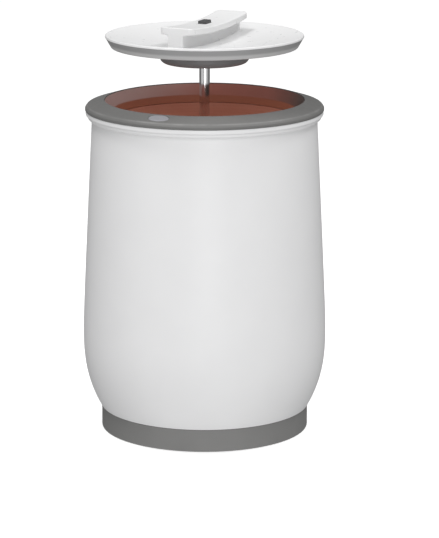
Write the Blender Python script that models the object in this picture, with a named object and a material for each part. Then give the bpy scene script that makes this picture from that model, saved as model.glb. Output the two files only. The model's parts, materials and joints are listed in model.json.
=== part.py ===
"""Round towel warmer: a heated bucket with a lid that slides and turns on a central rod.

The file's sizes are in millimetres, and MM turns them into Blender's metres. The origin is on the
floor under the middle of the bucket, +Z is up and the front, with the power button, faces -Y.
The lid is modelled raised, LID_LIFT above its seat.
"""

import math

import bmesh
import bpy
from mathutils import Matrix, Vector

MM = 0.001
ROUND = 40
SMALL_ROUND = 20
SCREW_ROUND = 8
GAP = 0.3

# Bucket shell: a barrel, widest low down, under a lip that carries the rim ring.
SHELL_R = 150.0
SHELL_WIDEST_Z = 120.0
SHELL_BOTTOM_Z = 28.2
SHELL_TAPER = 0.0507
SHELL_TAPER_EASE = 24.0
SHELL_BOTTOM_DROP = 21.4
SHELL_BOTTOM_POWER = 2.5
SHELL_WALL = 2.8
NECK_Z = 383.0
LIP_R = 145.0
LIP_TOP_Z = 397.6
LIP_BOTTOM_Z = 390.0
LIP_WALL = 3.0
LEDGE_R = 130.0
LEDGE_TOP_Z = 382.3
FLANGE_INNER_R = 118.0

# Rim ring and the tapered seat that the lid drops into.
RIM_R = 145.7
CREST_R = 121.7
CREST_Z = 410.8
RIM_SLOPE = 0.30
RIM_BOTTOM_Z = 397.9
RIM_WALL = 2.5
SEAT_TOP_R = 121.3
SEAT_R = 113.0
SEAT_CONE_Z = 396.6
SEAT_BOTTOM_Z = 387.0

# Heated chamber.
CHAMBER_R = 112.7
CHAMBER_WALL = 1.3
CHAMBER_TOP_Z = 386.7
CHAMBER_FLOOR_Z = 60.9
CHAMBER_FLANGE_R = 120.6
HEATER_Z = (90.0, 300.0)
SLEEVE_R = (116.6, 124.0)
SLEEVE_Z = (66.0, 376.0)
FLOOR_PAD_R = (52.0, 108.0)
FLOOR_PAD_LOW_Z = 33.0
THERMOSTAT_X = 39.0

# Base.
BASE_R = 128.0
BASE_Z = (0.6, 27.9)
BASE_WALL = 2.8
COVER_R = 124.8
COVER_Z = (3.6, 6.0)
FOOT_RING_R = 100.0
FOOT_R = 9.0
SCREW_RING_R = 121.4
COVER_SCREW_ANGLE = 67.5
CHASSIS_SCREW_ANGLE = 4.5
GLAND_Z = 16.7
GLAND_R = 5.0
CORD_HOLE_R = 3.4
BOARD_SIZE = (84.0, 60.0, 1.6)
BOARD_Z = 12.0
BOARD_Y = 25.0

# Clearance holes for the small screws of the base and the larger ones of the post and lid.
SMALL_HOLE_R = 2.0
HOLE_R = 2.3

# Power button on the rim's front.
BUTTON_HALF = (13.0, 7.2)
BUTTON_Y = -131.6
BUTTON_CLEARANCE = 0.4

# Lid, raised.
LID_LIFT = 77.0
LID_R = 120.8
LID_BOTTOM_R = 113.1
LID_BOTTOM_Z = 474.9
LID_EDGE_Z = 487.5
LID_TOP_Z = 490.0
DISH_DEPTH = 10.0
DISH_R = 120.0
LID_WALL = 2.5
PAN_FLOOR = 2.3
HUB_R = 54.5
HUB_Z = (455.2, 474.6)

# Handle: a T section on a shallow arc along Y.
HANDLE_HALF_LENGTH = 85.0
HANDLE_HALF_WIDTH = 21.2
HANDLE_CORNER = 7.0
HANDLE_TOP_Z = 503.3
HANDLE_RISE = 5.2
PLATE_DEPTH = 8.0
PLATE_ROOT_DROP = 1.6
STEM_HALF_WIDTH = 10.0
HANDLE_BUTTON = (10.6, 17.4)
HANDLE_BUTTON_Z = (498.0, 507.0)
BUTTON_TRAVEL_ROOM = 3.5
SPRING_R = 3.6
SPRING_WIRE_R = 0.45
SPRING_BORE_R = 4.8
SPRING_FLOOR_Z = 488.0

# Sliding rod, its post and the release pin inside it.
ROD_R = 6.5
ROD_BORE_R = 3.0
ROD_Z = (155.0, 474.5)
PIN_R = 2.0
PIN_HOLE_R = 2.6
POST_R = 9.5
POST_BORE_R = 7.3
POST_TOP_Z = 300.0
POST_FLANGE_R = 26.0
POST_SCREW_R = 19.0
CAP_R = 14.6
CAP_HOLE_R = 8.2
CAP_Z = (286.0, 311.5)
BUSH_R = 12.0
BUSH_Z = (300.6, 308.4)
POST_SCREW_ANGLE = 97.5
LID_SCREW_Y = 17.0


def clear_scene():
    for obj in list(bpy.data.objects):
        bpy.data.objects.remove(obj, do_unlink=True)


def material(name, colour, roughness, metallic=0.0):
    made = bpy.data.materials.new(name)
    made.use_nodes = True
    shader = made.node_tree.nodes["Principled BSDF"]
    shader.inputs["Base Color"].default_value = (*colour, 1.0)
    shader.inputs["Roughness"].default_value = roughness
    shader.inputs["Metallic"].default_value = metallic
    return made


def axis_empty(name, at=(0.0, 0.0, 0.0), parent=None):
    """Empty on a joint's axis, which the moving pieces hang from."""
    empty = bpy.data.objects.new(name, None)
    bpy.context.scene.collection.objects.link(empty)
    empty.parent = parent
    offset = Vector(at) * MM
    empty.location = offset - (parent.location if parent else Vector())
    bpy.context.view_layer.update()
    return empty


def place(name, bm, mat=None, parent=None):
    """Object from a bmesh in world millimetres, moved under its parent's origin."""
    bmesh.ops.recalc_face_normals(bm, faces=bm.faces)
    at = parent.matrix_world.translation if parent else Vector()
    bmesh.ops.transform(bm, matrix=Matrix.Translation(-at) @ Matrix.Scale(MM, 4), verts=bm.verts)
    mesh = bpy.data.meshes.new(name)
    bm.to_mesh(mesh)
    bm.free()
    obj = bpy.data.objects.new(name, mesh)
    bpy.context.scene.collection.objects.link(obj)
    obj.parent = parent
    if mat:
        mesh.materials.append(mat)
        mesh.shade_smooth()
        mesh.set_sharp_from_angle(angle=math.radians(35))
    return obj


def ring_of(bm, radius, z, segments, phase):
    if radius == 0:
        return []
    angles = [2 * math.pi * (i + phase) / segments for i in range(segments)]
    return [bm.verts.new((radius * math.cos(a), radius * math.sin(a), z)) for a in angles]


def bridge(bm, first, second):
    """Faces between two rings. Where one is on the axis, the other gets a flat cap."""
    if first and second:
        for i, vert in enumerate(first):
            j = (i + 1) % len(first)
            bm.faces.new((vert, first[j], second[j], second[i]))
    elif first or second:
        bm.faces.new(first or second)


def turned_mesh(section, segments=ROUND, phase=0.0):
    """Solid turned about Z. The section is a closed loop of (radius, height)."""
    bm = bmesh.new()
    rings = [ring_of(bm, radius, z, segments, phase) for radius, z in section]
    for first, second in zip(rings, rings[1:] + rings[:1]):
        bridge(bm, first, second)
    return bm


def turned(name, section, mat, segments=ROUND, at=(0.0, 0.0, 0.0), tilt=None, parent=None, phase=0.0):
    """Turned solid, stood at a place and, with tilt, turned from Z onto another direction."""
    bm = turned_mesh(section, segments, phase)
    if tilt:
        turn = Vector((0, 0, 1)).rotation_difference(Vector(tilt)).to_matrix()
        bmesh.ops.rotate(bm, matrix=turn, verts=bm.verts)
    bmesh.ops.translate(bm, vec=at, verts=bm.verts)
    return place(name, bm, mat, parent)


def rod_section(radius, low, high):
    return [(0, low), (radius, low), (radius, high), (0, high)]


def tube_section(inner, outer, low, high):
    return [(inner, low), (outer, low), (outer, high), (inner, high)]


def screw_section(head_z, tip_z, head_r=3.0, shank_r=1.5):
    """Pan-head screw. The shank runs from the head's inner face to the tip."""
    under_head, crown = head_z
    lean = 0.5 * (crown - under_head)
    return [(0, tip_z), (shank_r, tip_z), (shank_r, under_head), (head_r, under_head),
            (head_r, under_head + lean), (head_r - abs(lean), crown), (0, crown)]


def block_mesh(low, high):
    bm = bmesh.new()
    bmesh.ops.create_cube(bm, size=1.0)
    size = [b - a for a, b in zip(low, high)]
    middle = [(a + b) / 2 for a, b in zip(low, high)]
    bmesh.ops.scale(bm, vec=size, verts=bm.verts)
    bmesh.ops.translate(bm, vec=middle, verts=bm.verts)
    return bm


def block(name, low, high, mat, bevel=0.0, parent=None):
    bm = block_mesh(low, high)
    if bevel:
        bmesh.ops.bevel(bm, geom=bm.edges[:], offset=bevel, segments=2, profile=0.5, affect="EDGES")
    return place(name, bm, mat, parent)


def tube_along(name, route, radius, mat, sides=8, steps=5):
    """Flexible lead on a smooth curve through its route's points."""
    points = [Vector(p) for p in route]
    ends = [2 * points[0] - points[1]] + points + [2 * points[-1] - points[-2]]
    path = []
    for a, b, c, d in zip(ends, ends[1:], ends[2:], ends[3:]):
        for i in range(steps):
            t = i / steps
            path.append(0.5 * (2 * b + (c - a) * t + (2 * a - 5 * b + 4 * c - d) * t**2
                               + (3 * b - a - 3 * c + d) * t**3))
    path.append(points[-1])
    return place(name, swept_mesh(path, radius, sides), mat)


def swept_mesh(path, radius, sides):
    """Round tube with flat ends along a list of points."""
    bm = bmesh.new()
    rings = []
    side = Vector((1, 0, 0))
    for i, point in enumerate(path):
        ahead = path[min(i + 1, len(path) - 1)] - path[max(i - 1, 0)]
        ahead.normalize()
        side = (side - ahead * side.dot(ahead)).normalized()
        other = ahead.cross(side)
        turns = [2 * math.pi * k / sides for k in range(sides)]
        rings.append([bm.verts.new(point + radius * (math.cos(a) * side + math.sin(a) * other))
                      for a in turns])
    for first, second in zip(rings, rings[1:]):
        bridge(bm, first, second)
    bm.faces.new(rings[0][::-1])
    bm.faces.new(rings[-1])
    return bm


def boolean(obj, tool, operation):
    """Cuts obj with a helper, or joins the helper to it. The helper itself isn't a part."""
    tool.hide_render = True
    tool.display_type = "WIRE"
    modifier = obj.modifiers.new(tool.name, "BOOLEAN")
    modifier.operation = operation
    modifier.object = tool


def drill(obj, name, radius, low, high, spots, tilt=None, segments=SCREW_ROUND * 2):
    """Round holes through obj at each (x, y) in spots, between two heights."""
    for i, spot in enumerate(spots):
        at = (*spot, 0.0) if len(spot) == 2 else spot
        tool = turned(f"{name}_{i + 1}_cutter", rod_section(radius, low, high), None, segments,
                      at, tilt, obj.parent, phase=0.5)
        boolean(obj, tool, "DIFFERENCE")


def around(count, radius, first_degrees):
    """Points equally spaced round the Z axis."""
    angles = [math.radians(first_degrees) + 2 * math.pi * i / count for i in range(count)]
    return [(radius * math.cos(a), radius * math.sin(a)) for a in angles]


def arc(centre_r, centre_z, radius, start, end, count):
    """Section points on an arc, with the angles in degrees from the outward radius."""
    angles = [math.radians(start + (end - start) * i / (count - 1)) for i in range(count)]
    return [(centre_r + radius * math.cos(a), centre_z + radius * math.sin(a)) for a in angles]


def spread(low, high, count):
    return [low + (high - low) * i / (count - 1) for i in range(count)]


def shell_radius(z):
    """Outer radius of the bucket: a slight taper upwards, and a round tuck in towards the base."""
    if z >= SHELL_WIDEST_Z:
        rise = z - SHELL_WIDEST_Z
        return SHELL_R - SHELL_TAPER * (math.hypot(rise, SHELL_TAPER_EASE) - SHELL_TAPER_EASE)
    tuck = (SHELL_WIDEST_Z - z) / (SHELL_WIDEST_Z - SHELL_BOTTOM_Z)
    return SHELL_R - SHELL_BOTTOM_DROP * tuck**SHELL_BOTTOM_POWER


def rim_height(radius):
    """Height of the rim ring's sloping top."""
    return CREST_Z - RIM_SLOPE * (radius - CREST_R)


def dish_height(radius):
    """Height of the lid's hollowed top."""
    return LID_TOP_Z - DISH_DEPTH * (1 - (radius / DISH_R) ** 2)


def make_materials():
    return {
        "white_plastic": material("white_plastic", (0.80, 0.80, 0.80), 0.32),
        "lid_grey": material("lid_grey", (0.42, 0.42, 0.42), 0.4),
        "rim_grey": material("rim_grey", (0.20, 0.20, 0.20), 0.45),
        "seat_brown": material("seat_brown", (0.16, 0.085, 0.07), 0.4),
        "chamber": material("chamber", (0.34, 0.15, 0.11), 0.35, 0.6),
        "hub_dark": material("hub_dark", (0.09, 0.09, 0.09), 0.4),
        "button_dark": material("button_dark", (0.07, 0.07, 0.07), 0.4),
        "button_light": material("button_light", (0.34, 0.34, 0.36), 0.35),
        "chrome": material("chrome", (0.75, 0.75, 0.76), 0.08, 1.0),
        "steel": material("steel", (0.5, 0.5, 0.5), 0.35, 1.0),
        "rubber": material("rubber", (0.03, 0.03, 0.03), 0.8),
        "felt": material("felt", (0.7, 0.66, 0.55), 0.95),
        "foam": material("foam", (0.8, 0.8, 0.76), 0.95),
        "silicone": material("silicone", (0.55, 0.12, 0.05), 0.6),
        "board_green": material("board_green", (0.03, 0.2, 0.08), 0.5),
        "component_black": material("component_black", (0.02, 0.02, 0.02), 0.5),
        "component_blue": material("component_blue", (0.03, 0.12, 0.4), 0.5),
        "bush_nylon": material("bush_nylon", (0.75, 0.73, 0.66), 0.5),
        "lead_grey": material("lead_grey", (0.2, 0.2, 0.2), 0.6),
    }


def make_shell(mats):
    outer = [(LIP_R - 0.4, LIP_TOP_Z), (LIP_R, LIP_TOP_Z - 0.6)]
    outer += arc(LIP_R - 2.6, LIP_BOTTOM_Z + 2.6, 2.6, 0, -90, 3)
    neck_r = shell_radius(NECK_Z)
    outer += [(neck_r + 1.4, LIP_BOTTOM_Z - 1.0), (neck_r + 0.2, LIP_BOTTOM_Z - 4.0)]
    heights = spread(NECK_Z, SHELL_WIDEST_Z, 4)[:-1] + spread(SHELL_WIDEST_Z, SHELL_BOTTOM_Z, 7)
    outer += [(shell_radius(z), z) for z in heights]
    floor_z = SHELL_BOTTOM_Z + 2.6
    inner_heights = spread(floor_z, SHELL_WIDEST_Z, 5)[:-1] + spread(SHELL_WIDEST_Z, LEDGE_TOP_Z - 3.0, 3)
    inner = [(shell_radius(z) - SHELL_WALL, z) for z in inner_heights]
    above_ledge_r = neck_r - SHELL_WALL
    section = outer + [(FLANGE_INNER_R, SHELL_BOTTOM_Z), (FLANGE_INNER_R, floor_z)] + inner
    section += [(LEDGE_R, LEDGE_TOP_Z - 3.0), (LEDGE_R, LEDGE_TOP_Z), (above_ledge_r, LEDGE_TOP_Z),
                (above_ledge_r, LIP_BOTTOM_Z + 1.5), (LIP_R - LIP_WALL, LIP_BOTTOM_Z + 1.5),
                (LIP_R - LIP_WALL, LIP_TOP_Z)]
    shell = turned("outer_shell", section, mats["white_plastic"])
    drill(shell, "shell_hole", SMALL_HOLE_R, SHELL_BOTTOM_Z - 2, floor_z + 2,
          around(3, SCREW_RING_R, CHASSIS_SCREW_ANGLE))


def make_rim(mats):
    side_r = RIM_R - RIM_WALL - 0.7
    skirt_r = CREST_R + RIM_WALL
    edge_z = rim_height(RIM_R - 2.7)
    section = [(CREST_R, CREST_Z - 0.4), (CREST_R + 0.5, CREST_Z), (RIM_R - 2.7, edge_z),
               (RIM_R - 0.9, edge_z - 1.1), (RIM_R, edge_z - 3.0), (RIM_R, RIM_BOTTOM_Z + 0.6),
               (RIM_R - 0.7, RIM_BOTTOM_Z), (side_r, RIM_BOTTOM_Z),
               (side_r, rim_height(side_r) - RIM_WALL), (skirt_r, rim_height(skirt_r) - RIM_WALL),
               (skirt_r, CHAMBER_TOP_Z), (CREST_R, CHAMBER_TOP_Z)]
    rim = turned("rim_ring", section, mats["rim_grey"])
    hole = oval_mesh(rod_section(BUTTON_HALF[1] + BUTTON_CLEARANCE, RIM_BOTTOM_Z, CREST_Z + 5),
                     (BUTTON_HALF[0] + BUTTON_CLEARANCE, BUTTON_HALF[1] + BUTTON_CLEARANCE))
    boolean(rim, place("button_hole_cutter", hole), "DIFFERENCE")
    foot_z = SEAT_BOTTOM_Z + 2.3
    wall_r = SEAT_R + 2.8
    foot_r = CHAMBER_FLANGE_R
    turned("seat_collar", [
        (SEAT_TOP_R, CREST_Z - 0.5), (SEAT_R, SEAT_CONE_Z), (SEAT_R, SEAT_BOTTOM_Z),
        (foot_r, SEAT_BOTTOM_Z), (foot_r, foot_z), (wall_r, foot_z),
        (wall_r, SEAT_CONE_Z), (SEAT_TOP_R, CREST_Z - 5.2)], mats["seat_brown"])
    deck_z = (LEDGE_TOP_Z + GAP, CHAMBER_TOP_Z - CHAMBER_WALL - GAP)
    deck = turned("top_deck", tube_section(CHAMBER_R + 1.8, shell_radius(NECK_Z) - SHELL_WALL - 0.5,
                                           *deck_z), mats["white_plastic"])
    drill(deck, "cable_hole", 2.4, deck_z[0] - 2, deck_z[1] + 2, [(0, -127.0)])


def make_chamber(mats):
    outer_r = CHAMBER_R + CHAMBER_WALL
    under_z = CHAMBER_FLOOR_Z - CHAMBER_WALL
    flange_z = CHAMBER_TOP_Z - CHAMBER_WALL
    bend = 9.0
    section = [(CHAMBER_FLANGE_R, CHAMBER_TOP_Z), (CHAMBER_FLANGE_R, flange_z), (outer_r, flange_z)]
    section += arc(CHAMBER_R - bend, CHAMBER_FLOOR_Z + bend, bend + CHAMBER_WALL, 0, -90, 3)
    section += [(0, under_z), (0, CHAMBER_FLOOR_Z)]
    section += arc(CHAMBER_R - bend, CHAMBER_FLOOR_Z + bend, bend, -90, 0, 3)
    section += [(CHAMBER_R, CHAMBER_TOP_Z)]
    chamber = turned("heat_chamber", section, mats["chamber"])
    screw_spots = around(3, POST_SCREW_R, POST_SCREW_ANGLE)
    drill(chamber, "floor_hole", HOLE_R, under_z - 2, CHAMBER_FLOOR_Z + 2, screw_spots)
    turned("heater_band", tube_section(outer_r + 0.4, outer_r + 2.2, *HEATER_Z), mats["silicone"])
    turned("insulation_sleeve", tube_section(*SLEEVE_R, *SLEEVE_Z), mats["felt"])
    turned("floor_insulation", tube_section(*FLOOR_PAD_R, FLOOR_PAD_LOW_Z, under_z - 0.4), mats["felt"])
    backplate = turned("post_backplate", rod_section(POST_FLANGE_R, under_z - 2.7, under_z - GAP),
                       mats["steel"], SMALL_ROUND)
    drill(backplate, "backplate_hole", HOLE_R, under_z - 5, under_z + 2, screw_spots)
    stud_z = under_z - 9.6
    turned("thermostat", [(0, stud_z), (6.0, stud_z), (6.0, stud_z + 2), (9.0, stud_z + 2),
                          (9.0, under_z - GAP), (0, under_z - GAP)], mats["component_black"],
           SMALL_ROUND, at=(THERMOSTAT_X, 0, 0))
    turned("thermal_fuse", rod_section(2.5, -8.0, 8.0), mats["bush_nylon"], 12,
           at=(-THERMOSTAT_X, 0, under_z - 3.0), tilt=(0, 1, 0))


def make_post(mats):
    foot_z = CHAMBER_FLOOR_Z + GAP
    flange_top = foot_z + 3.0
    section = [(POST_BORE_R, foot_z), (POST_FLANGE_R, foot_z), (POST_FLANGE_R, flange_top - 0.8),
               (POST_FLANGE_R - 0.8, flange_top), (POST_R + 2.5, flange_top),
               (POST_R, flange_top + 2.5), (POST_R, POST_TOP_Z), (POST_BORE_R, POST_TOP_Z)]
    post = turned("lid_post", section, mats["steel"], SMALL_ROUND)
    screw_spots = around(3, POST_SCREW_R, POST_SCREW_ANGLE)
    drill(post, "post_hole", HOLE_R, foot_z - 2, flange_top + 2, screw_spots)
    head_z = (flange_top + GAP, flange_top + 2.4)
    for i, (x, y) in enumerate(screw_spots):
        turned(f"post_screw_{i + 1}", screw_section(head_z, 54.0, 3.6, 1.9), mats["steel"],
               SCREW_ROUND, at=(x, y, 0))
    low, high = CAP_Z
    turned("post_cap", [
        (POST_R + 0.4, low), (CAP_R - 0.6, low), (CAP_R, low + 1.0), (CAP_R, high - 2.0),
        (CAP_R - 1.0, high), (CAP_HOLE_R, high), (CAP_HOLE_R, BUSH_Z[1] + 0.4),
        (BUSH_R, BUSH_Z[1] + 0.4), (BUSH_R, POST_TOP_Z + GAP), (POST_R + 0.4, POST_TOP_Z + GAP)],
        mats["hub_dark"], SMALL_ROUND)
    turning = axis_empty("lid_turn_axis", (0, 0, POST_TOP_Z))
    turned("guide_bush", tube_section(ROD_R + 0.45, BUSH_R - 0.4, *BUSH_Z), mats["bush_nylon"],
           SMALL_ROUND, parent=turning)
    return turning


def make_base(mats):
    low, high = BASE_Z
    inner_r = BASE_R - BASE_WALL
    section = [(BASE_R, high - 0.5), (BASE_R, low + 0.6), (BASE_R - 0.6, low), (inner_r, low),
               (inner_r, COVER_Z[1] + GAP), (FLANGE_INNER_R, COVER_Z[1] + GAP),
               (FLANGE_INNER_R, COVER_Z[1] + 2.8), (inner_r, COVER_Z[1] + 2.8),
               (inner_r, high - 2.5), (FLANGE_INNER_R, high - 2.5), (FLANGE_INNER_R, high),
               (BASE_R - 0.5, high)]
    base = turned("base_ring", section, mats["rim_grey"])
    cover_screws = around(3, SCREW_RING_R, COVER_SCREW_ANGLE)
    chassis_screws = around(3, SCREW_RING_R, CHASSIS_SCREW_ANGLE)
    drill(base, "low_flange_hole", SMALL_HOLE_R, COVER_Z[1] - 1, COVER_Z[1] + 5, cover_screws)
    drill(base, "high_flange_hole", SMALL_HOLE_R, high - 5, high + 2, chassis_screws)
    drill(base, "gland_hole", GLAND_R + 0.4, inner_r - 6, BASE_R + 6, [(0, 0, GLAND_Z)], tilt=(0, 1, 0))

    cover = turned("bottom_cover", rod_section(COVER_R, *COVER_Z), mats["rim_grey"])
    drill(cover, "cover_hole", SMALL_HOLE_R, COVER_Z[0] - 2, COVER_Z[1] + 2, cover_screws)
    for i in range(6):
        x = -50.0 + 20.0 * i
        slot = block_mesh((x - 2.5, -84.0, COVER_Z[0] - 2), (x + 2.5, -44.0, COVER_Z[1] + 2))
        boolean(cover, place(f"vent_slot_{i + 1}_cutter", slot), "DIFFERENCE")
    stand_x = BOARD_SIZE[0] / 2 - 6
    stand_y = BOARD_SIZE[1] / 2 - 6
    for i, (sx, sy) in enumerate(((1, 1), (-1, 1), (-1, -1), (1, -1))):
        stand = turned(f"board_stand_{i + 1}_tool",
                       rod_section(3.0, COVER_Z[1] - 0.5, BOARD_Z - GAP), None, SCREW_ROUND,
                       at=(sx * stand_x, BOARD_Y + sy * stand_y, 0))
        boolean(cover, stand, "UNION")

    for i, (x, y) in enumerate(around(4, FOOT_RING_R, 45)):
        turned(f"foot_{i + 1}", [(0, 0.6), (4.0, 0.6), (5.0, 0), (FOOT_R - 1.2, 0), (FOOT_R - 0.4, 0.8),
                                 (FOOT_R, COVER_Z[0] - GAP), (0, COVER_Z[0] - GAP)],
               mats["rubber"], 16, at=(x, y, 0))
    for i, (x, y) in enumerate(cover_screws):
        turned(f"cover_screw_{i + 1}", screw_section((COVER_Z[0] - GAP, 1.6), 15.0), mats["steel"],
               SCREW_ROUND, at=(x, y, 0))
    chassis_z = (SHELL_BOTTOM_Z + 2.9, SHELL_BOTTOM_Z + 4.4)
    chassis = turned("chassis_plate", rod_section(126.0, *chassis_z), mats["steel"])
    drill(chassis, "chassis_hole", SMALL_HOLE_R, chassis_z[0] - 2, chassis_z[1] + 2,
          chassis_screws)
    drill(chassis, "lead_hole", 4.0, chassis_z[0] - 2, chassis_z[1] + 2, [(0, -114.0), (91.0, -66.0)])
    for i, (x, y) in enumerate(chassis_screws):
        turned(f"chassis_screw_{i + 1}", screw_section((chassis_z[1] + GAP, chassis_z[1] + 2.2), 19.0),
               mats["steel"], SCREW_ROUND, at=(x, y, 0))

    turned("cord_gland", [
        (CORD_HOLE_R, 118.0), (GLAND_R, 118.0), (GLAND_R, BASE_R + 0.5), (9.0, BASE_R + 0.5),
        (9.0, BASE_R + 2.6), (8.2, BASE_R + 3.5), (5.0, BASE_R + 3.5), (CORD_HOLE_R, BASE_R + 2.0)],
        mats["rubber"], 16, at=(0, 0, GLAND_Z), tilt=(0, 1, 0))
    turned("gland_nut", tube_section(GLAND_R + 0.35, 7.6, inner_r - 4.0, inner_r - 0.8),
           mats["component_black"], 12, at=(0, 0, GLAND_Z), tilt=(0, 1, 0))


def make_electronics(mats):
    half_x, half_y = BOARD_SIZE[0] / 2, BOARD_SIZE[1] / 2
    top = BOARD_Z + BOARD_SIZE[2]
    seat = top + GAP
    block("control_board", (-half_x, BOARD_Y - half_y, BOARD_Z), (half_x, BOARD_Y + half_y, top),
          mats["board_green"])
    block("relay", (-30, 12, seat), (-11, 27, seat + 14.5), mats["component_blue"], 0.5)
    block("terminal_block", (-16, 40, seat), (16, 51, seat + 11), mats["component_black"], 0.5)
    turned("capacitor", rod_section(5.0, seat, seat + 12.0), mats["component_black"], 16,
           at=(22, 22, 0))
    tube_along("button_cable", [
        (0, 5, seat + 2), (0, -40, seat + 3), (0, -95, 17), (0, -112, 24), (0, -114.5, 36),
        (0, -119, 52), (0, -127, 76), (0, -127, 180), (0, -127, 290), (0, -127, 372),
        (0, -127, 384), (0, -129, 391)], 1.5, mats["lead_grey"], sides=6, steps=3)
    tube_along("heater_lead", [
        (32, 2, seat + 2), (62, -38, seat + 3), (85, -62, 21), (91, -66, 29), (92, -66.6, 38),
        (93.4, -67.6, 58), (93.4, -67.6, HEATER_Z[0] - 1.0)], 0.9, mats["lead_grey"], sides=6, steps=3)


def oval_mesh(section, half):
    """Turned solid at the power button's place, stretched along X into an oval."""
    bm = turned_mesh(section, SMALL_ROUND)
    bmesh.ops.scale(bm, vec=(half[0] / half[1], 1, 1), verts=bm.verts)
    bmesh.ops.translate(bm, vec=(0, BUTTON_Y, 0), verts=bm.verts)
    return bm


def make_power_button(mats):
    """Cap with a face that follows the rim's slope, on a stem over a small switch."""
    middle_z = rim_height(-BUTTON_Y)
    axis = axis_empty("power_button_axis", (0, BUTTON_Y, middle_z))
    skirt_z = middle_z - 6.6
    stem_z = skirt_z - 3.0
    roof_z = skirt_z + 2.4
    proud = 0.25
    half_y = BUTTON_HALF[1]
    section = [(0, stem_z), (2.0, stem_z), (2.0, roof_z), (half_y - 1.4, roof_z),
               (half_y - 1.4, skirt_z), (half_y, skirt_z), (half_y, CREST_Z - 0.5),
               (half_y - 0.5, CREST_Z), (0, CREST_Z)]
    bm = oval_mesh(section, BUTTON_HALF)
    for vert in bm.verts:
        if vert.co.z > CREST_Z - 1:
            inset = CREST_Z - vert.co.z
            vert.co.z = rim_height(-vert.co.y) + proud - inset
    place("power_button", bm, mats["button_light"], axis)
    switch_top = stem_z - 1.1
    switch_low = switch_top - 3.4
    block("button_switch", (-4, BUTTON_Y - 4, switch_low), (4, BUTTON_Y + 4, switch_top),
          mats["component_black"], 0.4)
    block("button_board", (-13, -139.5, switch_low - 1.5), (13, -125.0, switch_low - GAP),
          mats["board_green"])


def make_lid(mats, parent):
    plane_r = LID_R - 2.5
    radii = [PIN_HOLE_R, 35, 65, 90, 108]
    section = [(r, dish_height(r)) for r in radii] + [(plane_r, dish_height(plane_r))]
    section += arc(plane_r, LID_EDGE_Z, 2.5, 75, 0, 3) + [(LID_R, LID_EDGE_Z - 0.2)]
    section += [(LID_R - 3.2, LID_EDGE_Z - 0.2)]
    section += [(r, dish_height(r) - LID_WALL) for r in (108, 65, PIN_HOLE_R)]
    top = turned("lid_top", section, mats["white_plastic"], parent=parent)
    screw_spots = [(0, LID_SCREW_Y), (0, -LID_SCREW_Y)]
    drill(top, "lid_top_hole", HOLE_R, LID_BOTTOM_Z, LID_TOP_Z, screw_spots)

    skirt_top = LID_EDGE_Z - 0.5
    floor_top = LID_BOTTOM_Z + PAN_FLOOR
    under = turned("lid_under", [
        (LID_R - 0.4, skirt_top), (LID_BOTTOM_R + 0.4, LID_BOTTOM_Z + 0.8),
        (LID_BOTTOM_R - 0.6, LID_BOTTOM_Z), (PIN_HOLE_R, LID_BOTTOM_Z), (PIN_HOLE_R, floor_top),
        (LID_BOTTOM_R - 2.1, floor_top), (LID_R - 3.4, skirt_top)], mats["lid_grey"], parent=parent)
    drill(under, "lid_under_hole", HOLE_R, LID_BOTTOM_Z - 2, floor_top + 2, screw_spots)
    foam_r = (62.0, 85.0, 107.0)
    foam_top = [(r, dish_height(r) - LID_WALL - 0.7) for r in foam_r]
    turned("lid_insulation", [(foam_r[2], floor_top + 0.4), *foam_top[::-1],
                              (foam_r[0], floor_top + 0.4)], mats["foam"], parent=parent)

    low, high = HUB_Z
    wall = 2.5
    bend = 8.0
    bore_r = ROD_R + 0.4
    section = [(bore_r, low)] + arc(HUB_R - bend, low + bend, bend, -90, 0, 4) + [(HUB_R, high)]
    section += [(HUB_R - wall, high)] + arc(HUB_R - bend, low + bend, bend - wall, 0, -90, 3)
    section += [(bore_r, low + wall)]
    turned("hub_cover", section, mats["hub_dark"], parent=parent)
    flange_z = (high - 3.8, high)
    flange = turned("rod_flange", tube_section(bore_r, POST_FLANGE_R, *flange_z), mats["steel"],
                    SMALL_ROUND, parent=parent)
    drill(flange, "rod_flange_hole", HOLE_R, flange_z[0] - 2, flange_z[1] + 2, screw_spots)
    head_z = (flange_z[0] - GAP, flange_z[0] - 3.0)
    for i, (x, y) in enumerate(screw_spots):
        turned(f"handle_screw_{i + 1}", screw_section(head_z, LID_TOP_Z, 3.6, 1.7), mats["steel"],
               SCREW_ROUND, at=(x, y, 0), parent=parent)
    turned("lift_rod", [(ROD_BORE_R, ROD_Z[0]), (ROD_R - 0.5, ROD_Z[0]), (ROD_R, ROD_Z[0] + 0.5),
                        (ROD_R, ROD_Z[1]), (ROD_BORE_R, ROD_Z[1])], mats["chrome"], SMALL_ROUND,
           parent=parent)
    turned("lock_shoe", tube_section(4.4, ROD_R + 0.1, ROD_Z[0] - 10.0, ROD_Z[0] - GAP),
           mats["bush_nylon"], SMALL_ROUND, parent=parent)


def handle_section(y):
    """Half section of the handle at a place along it, from the stem's foot to the top's middle."""
    along = y / HANDLE_HALF_LENGTH
    top = HANDLE_TOP_Z + HANDLE_RISE * along**2
    foot = dish_height(math.hypot(STEM_HALF_WIDTH, y)) + GAP + 0.1
    past = max(0.0, abs(y) - (HANDLE_HALF_LENGTH - HANDLE_CORNER))
    half = HANDLE_HALF_WIDTH - HANDLE_CORNER + math.sqrt(HANDLE_CORNER**2 - past**2)
    under = top - PLATE_DEPTH
    root = under - PLATE_ROOT_DROP
    return [(STEM_HALF_WIDTH, foot), (STEM_HALF_WIDTH, root - 2.6),
            (STEM_HALF_WIDTH + 0.8, root - 0.7), (STEM_HALF_WIDTH + 2.8, root),
            (half - 1.4, under), (half, under + 1.4), (half, top - 1.6), (half - 1.6, top)]


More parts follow.
